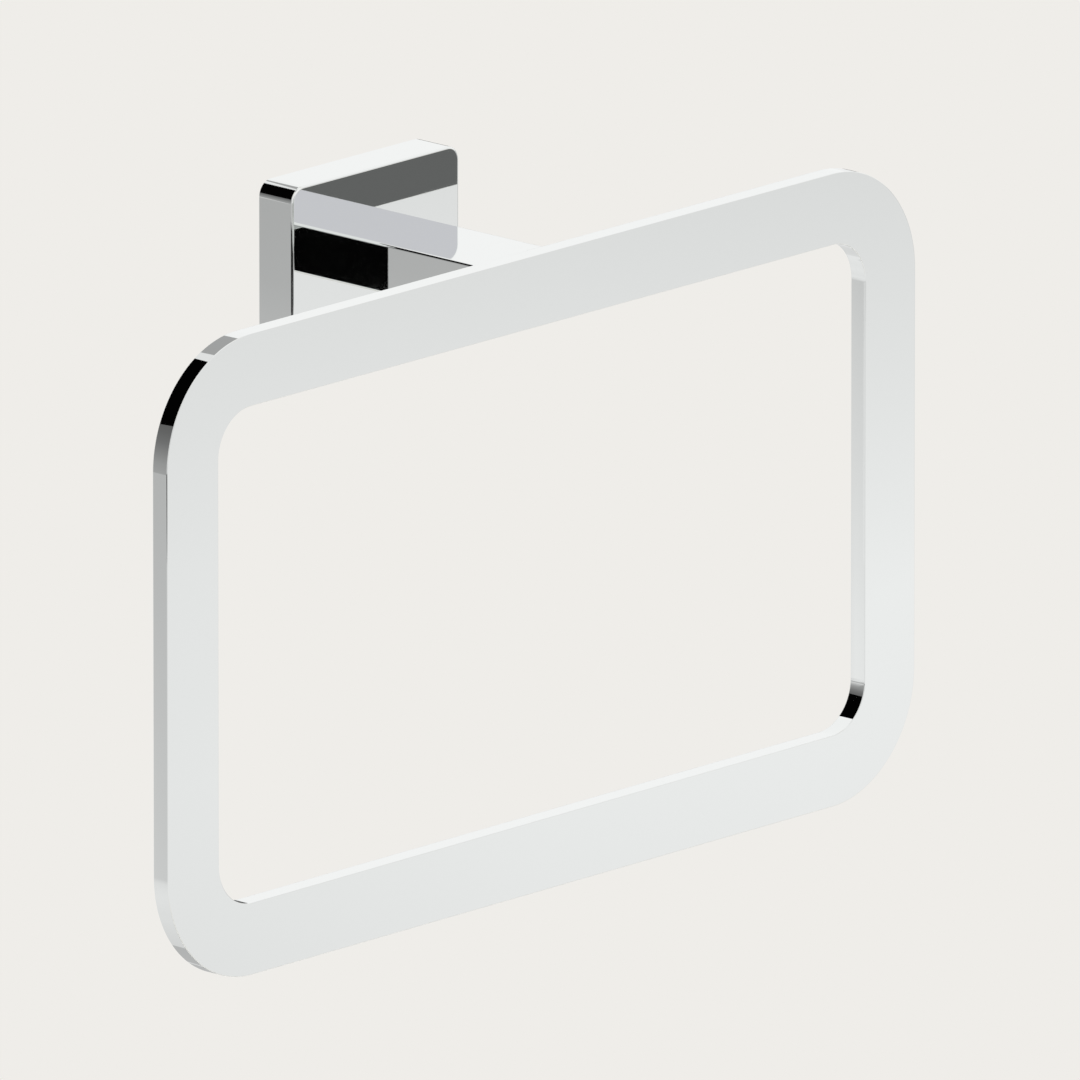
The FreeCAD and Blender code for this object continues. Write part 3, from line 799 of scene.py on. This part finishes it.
def card(name, place, across, up, levels, tint=(1, 1, 1)):
    """A card that only reflections show. Its levels belong to its steps and run evenly between them."""
    levels = np.broadcast_to(levels, (len(up), len(across)))
    fine_across = fine(across)
    form = bmesh.new()
    rows = []
    tones = []
    for v in fine(up):
        rows.append([form.verts.new(place(u, v)) for u in fine_across])
        for u in fine_across:
            level = np.interp(v, up, [np.interp(u, across, row) for row in levels])
            tones.append([level * part for part in tint] + [1.0])
    for lower, upper in zip(rows, rows[1:]):
        for i in range(len(lower) - 1):
            form.faces.new((lower[i], lower[i + 1], upper[i + 1], upper[i]))
    mesh = mesh_of(form, name)
    tone = mesh.color_attributes.new("tone", "FLOAT_COLOR", "POINT")
    for index, colour in enumerate(tones):
        tone.data[index].color = colour
    mesh.materials.append(card_glow)
    made = new_piece(name, mesh)
    made.visible_camera = False
    made.visible_diffuse = False
    made.visible_shadow = False
    made.visible_transmission = False


def facing_x(level):
    return lambda u, v: (level, u, v)


def facing_y(level):
    return lambda u, v: (u, level, v)


def facing_z(level):
    return lambda u, v: (u, v, level)


def arch(centre_x, centre_z, radius, near, far, depths):
    """Place on part of an arch that runs along Y. Its end angles change evenly between its two depths."""

    def place(along, depth):
        start, end = (np.interp(depth, depths, pair) for pair in zip(near, far))
        angle = math.radians(start + (end - start) * along)
        return (centre_x + radius * math.cos(angle), depth, centre_z + radius * math.sin(angle))

    return place


def drum(radius):
    """Place on an upright drum round the object, by its angle and height."""
    return lambda angle, height: (
        radius * math.cos(math.radians(angle)),
        radius * math.sin(math.radians(angle)),
        height,
    )


# Where the cards stand, in metres, and how dark the black ones are. An arch has its centre in X and Z, its
# radius, and two depths in Y between which it runs.
FRONT = -0.9
LEFT = -0.9
LEFT_NEARER = -0.899
RIGHT = 0.9
BEHIND = 0.5
BACK = 0.95
LOW = -0.55
LOW_GREY = -0.5495
LOW_PALE = -0.549
HIGH = 1.3
ARCH = (-0.05, -0.03, 0.445)
ARCH_BACK = (0.20, 0.55)
ARCH_FRONT = (-0.46, -0.15)
SMALL_ARCH = (-0.099, 0.005, 0.2)
SMALL_ARCH_DEPTHS = (0.110, 0.130)
SCREEN_DRUM = 1.0
STRIP_DRUM = 0.85
BLACK = 0.001

# Cards in front, low ones for the faces and high ones for their tops.
card(
    "front_card",
    facing_y(FRONT),
    (0.76, 0.81, 0.91, 1.01, 1.06),
    (-0.50, -0.456, -0.424, -0.374, -0.336, -0.29),
    (
        (0.825, 0.855, 0.895, 0.920, 0.920),
        (0.865, 0.885, 0.930, 0.950, 0.950),
        (0.895, 0.908, 0.940, 0.965, 0.965),
        (0.885, 0.893, 0.885, 0.880, 0.873),
        (0.855, 0.855, 0.848, 0.830, 0.825),
        (0.815, 0.815, 0.800, 0.785, 0.780),
    ),
)
card("front_upper_card", facing_y(FRONT), (0.76, 1.10), (0.20, 0.50), 0.771, tint=(0.935, 0.924, 0.978))
card(
    "front_middle_card",
    facing_y(FRONT),
    (-0.19, -0.08, 0.08, 0.40, 0.76),
    (-0.50, -0.36, -0.22, -0.10, 0.44),
    (
        (0.70, 0.90, 0.95, 0.90, 0.84),
        (0.62, 0.88, 1.00, 0.92, 0.87),
        (0.45, 0.60, 0.78, 0.85, 0.80),
        (0.40, 0.50, 0.70, 0.80, 0.80),
        (0.60, 0.70, 0.90, 0.95, 0.90),
    ),
)
card("front_high_card", facing_y(FRONT), (-0.90, 0.50), (0.45, 1.30), 1.05)

# Cards at the left. They are darker higher up, and jump at the height where the ring's corners begin.
card(
    "left_card",
    facing_x(LEFT),
    (0.60, 0.74, 0.86, 0.885, 0.95),
    (-0.55, -0.50, -0.46, -0.39, -0.32, -0.292),
    (
        (0.82, 0.82, 0.93, 0.88, 0.89),
        (0.81, 0.81, 0.93, 0.85, 0.87),
        (0.76, 0.77, 0.902, 0.825, 0.82),
        (0.625, 0.661, 0.701, 0.70, 0.70),
        (0.55, 0.514, 0.456, 0.45, 0.45),
        (0.52, 0.475, 0.449, 0.44, 0.44),
    ),
)
card(
    "left_upper_card",
    facing_x(LEFT_NEARER),
    (0.60, 0.796),
    (-0.303, -0.15, 0.0, 0.125, 0.27, 0.46),
    ((0.394,), (0.342,), (0.252,), (0.183,), (0.145,), (0.12,)),
)
card(
    "left_upper_back_card",
    facing_x(LEFT),
    (0.796, 0.95),
    (-0.292, -0.25, -0.18, -0.11, 0.03, 0.17, 0.46),
    ((0.76,), (0.65,), (0.456,), (0.34,), (0.216,), (0.15,), (0.11,)),
)
card(
    "left_pale_strip",
    facing_x(LEFT_NEARER),
    (0.819, 0.844),
    (-0.44, -0.385, -0.338),
    ((0.88,), (0.84,), (0.80,)),
)
card(
    "left_middle_card",
    facing_x(LEFT),
    (-0.12, 0.0, 0.3, 0.6),
    (-0.50, -0.36, -0.22, 0.10, 0.50),
    (
        (0.80, 0.95, 0.90, 0.82),
        (0.70, 0.85, 0.80, 0.59),
        (0.50, 0.60, 0.60, 0.45),
        (0.30, 0.50, 0.60, 0.20),
        (0.70, 0.90, 0.90, 0.60),
    ),
)

# A large white card at the right lights every top. Below it, darkness shows in the ring's lower left
# corner alone.
card("right_card", facing_x(RIGHT), (-0.80, 1.10), (0.05, 1.25), 1.0)
card("right_dark_card", facing_x(RIGHT), (0.73, 1.10), (-0.45, 0.05), 0.155)
card(
    "right_middle_card",
    facing_x(RIGHT),
    (-0.60, -0.06, 0.0, 0.50, 0.72),
    (-0.50, -0.34, -0.20, 0.05),
    (
        (0.90, 0.90, 0.90, 0.95, 1.0),
        (0.85, 0.80, 0.75, 0.90, 1.0),
        (0.60, 0.45, 0.40, 0.75, 1.0),
        (0.80, 0.60, 0.50, 0.80, 1.0),
    ),
)

# Cards behind and below.
card(
    "behind_card",
    facing_y(BEHIND),
    (0.38, 0.50, 0.57, 0.71, 0.80),
    (-0.40, -0.33, -0.27, -0.18, -0.12),
    (
        (0.85, 0.70, 0.50, 0.50, 0.60),
        (0.80, 0.60, 0.35, 0.30, 0.40),
        (0.70, 0.40, 0.155, 0.155, 0.30),
        (0.60, 0.35, 0.155, 0.155, 0.30),
        (0.60, 0.35, 0.155, 0.155, 0.30),
    ),
)
card(
    "back_card",
    facing_y(BACK),
    (-0.55, -0.12, 0.12, 0.50),
    (-0.55, -0.38, -0.24, 0.10, 0.50),
    (
        (0.90, 0.90, 0.80, 0.70),
        (0.95, 0.92, 0.75, 0.60),
        (0.70, 0.55, 0.38, 0.30),
        (0.50, 0.50, 0.45, 0.40),
        (0.90, 0.95, 0.90, 0.85),
    ),
)
card(
    "low_left_card",
    facing_z(LOW),
    (-0.90, -0.35, -0.05),
    (0.25, 0.36, 0.41, 0.50, 0.56, 0.75, 0.95),
    (
        (0.82, 0.82, 0.715),
        (0.82, 0.82, 0.735),
        (0.82, 0.82, 0.89),
        (0.82, 0.87, 0.89),
        (0.83, 0.89, 0.89),
        (0.83, 0.89, 0.89),
        (0.89, 0.89, 0.89),
    ),
)
card("low_right_card", facing_z(LOW), (-0.05, 0.95), (0.20, 0.95), 0.79)


def curved(xs, ys, level):
    """Place on a level strip that bends along a curve in X and Y."""
    return lambda x, off: (x, np.interp(x, xs, ys) + off, level)


# Two bent strips lie on the low cards. The ring's lower left corner mirrors the grey one, and its inner
# upper right corner the pale one.
GREY_X = (-0.05, 0.042, 0.114, 0.196, 0.296, 0.425, 0.608, 0.90)
GREY_Y = (0.328, 0.344, 0.367, 0.403, 0.457, 0.538, 0.668, 0.896)
card("low_grey_strip", curved(GREY_X, GREY_Y, LOW_GREY), GREY_X, (-0.02, 0.014), 0.51)
PALE_X = (-0.06, 0.036, 0.078, 0.098, 0.186, 0.266, 0.353, 0.452, 0.573, 0.728, 0.80)
PALE_Y = (0.4275, 0.410, 0.408, 0.408, 0.415, 0.432, 0.460, 0.503, 0.567, 0.663, 0.712)
card(
    "low_pale_strip",
    curved(PALE_X, PALE_Y, LOW_PALE),
    PALE_X,
    (-0.006, 0.006),
    (0.89, 0.89, 0.89, 0.79, 0.76, 0.755, 0.755, 0.755, 0.79, 0.82, 0.82),
)
card(
    "high_card",
    facing_z(HIGH),
    (-0.5, -0.1, 0.1, 0.5),
    (-0.5, 0.5),
    ((0.5, 0.65, 0.95, 1.0), (0.45, 0.6, 0.9, 1.0)),
)

# Arches over the object give the black, white and grey bands on its rounded corners and long edges.
card("arch_black", arch(*ARCH, (94.9, 150.1), (73.4, 168.1), ARCH_BACK), (0.0, 1.0), ARCH_BACK, BLACK)
card(
    "arch_white",
    arch(*ARCH, (30.0, 94.9), (30.0, 73.4), ARCH_BACK),
    (0.0, 0.76, 0.82, 1.0),
    (0.20, 0.34, 0.39, 0.55),
    ((1.0, 1.0, 0.86, 0.86), (1.0, 1.0, 0.86, 0.86), (1.0, 1.0, 1.03, 1.06), (1.0, 1.0, 1.03, 1.06)),
)
card(
    "arch_grey",
    arch(*SMALL_ARCH, (37.0, 71.2), (37.0, 71.2), SMALL_ARCH_DEPTHS),
    (0.0, 1.0),
    SMALL_ARCH_DEPTHS,
    0.405,
)
card(
    "arch_front",
    arch(*ARCH, (40.0, 188.0), (40.0, 188.0), ARCH_FRONT),
    (0.0, 0.23, 0.48, 0.74, 1.0),
    ARCH_FRONT,
    (1.0, 1.0, 0.95, 0.95, 0.95),
)

# A pale screen stands at the front left. The black strip before it draws the dark line down the cover's
# upright edge and shows beside the arm. It is paler where a face that is seen straight on would mirror
# it.
card(
    "screen",
    drum(SCREEN_DRUM),
    (188.0, 205.0, 235.0, 258.0),
    (-0.60, -0.36, -0.22, 0.10, 0.50),
    (
        (0.85, 0.90, 0.95, 0.85),
        (0.75, 0.85, 0.95, 0.75),
        (0.60, 0.70, 0.80, 0.62),
        (0.40, 0.55, 0.70, 0.45),
        (0.80, 0.85, 0.90, 0.80),
    ),
)
card(
    "black_strip",
    drum(STRIP_DRUM),
    (147.0, 178.0, 179.5, 184.5, 186.0, 260.5, 262.0, 278.0, 279.5, 287.0),
    (-0.2310, -0.2050),
    (BLACK, BLACK, 0.10, 0.10, BLACK, BLACK, 0.50, 0.50, 0.05, 0.05),
)
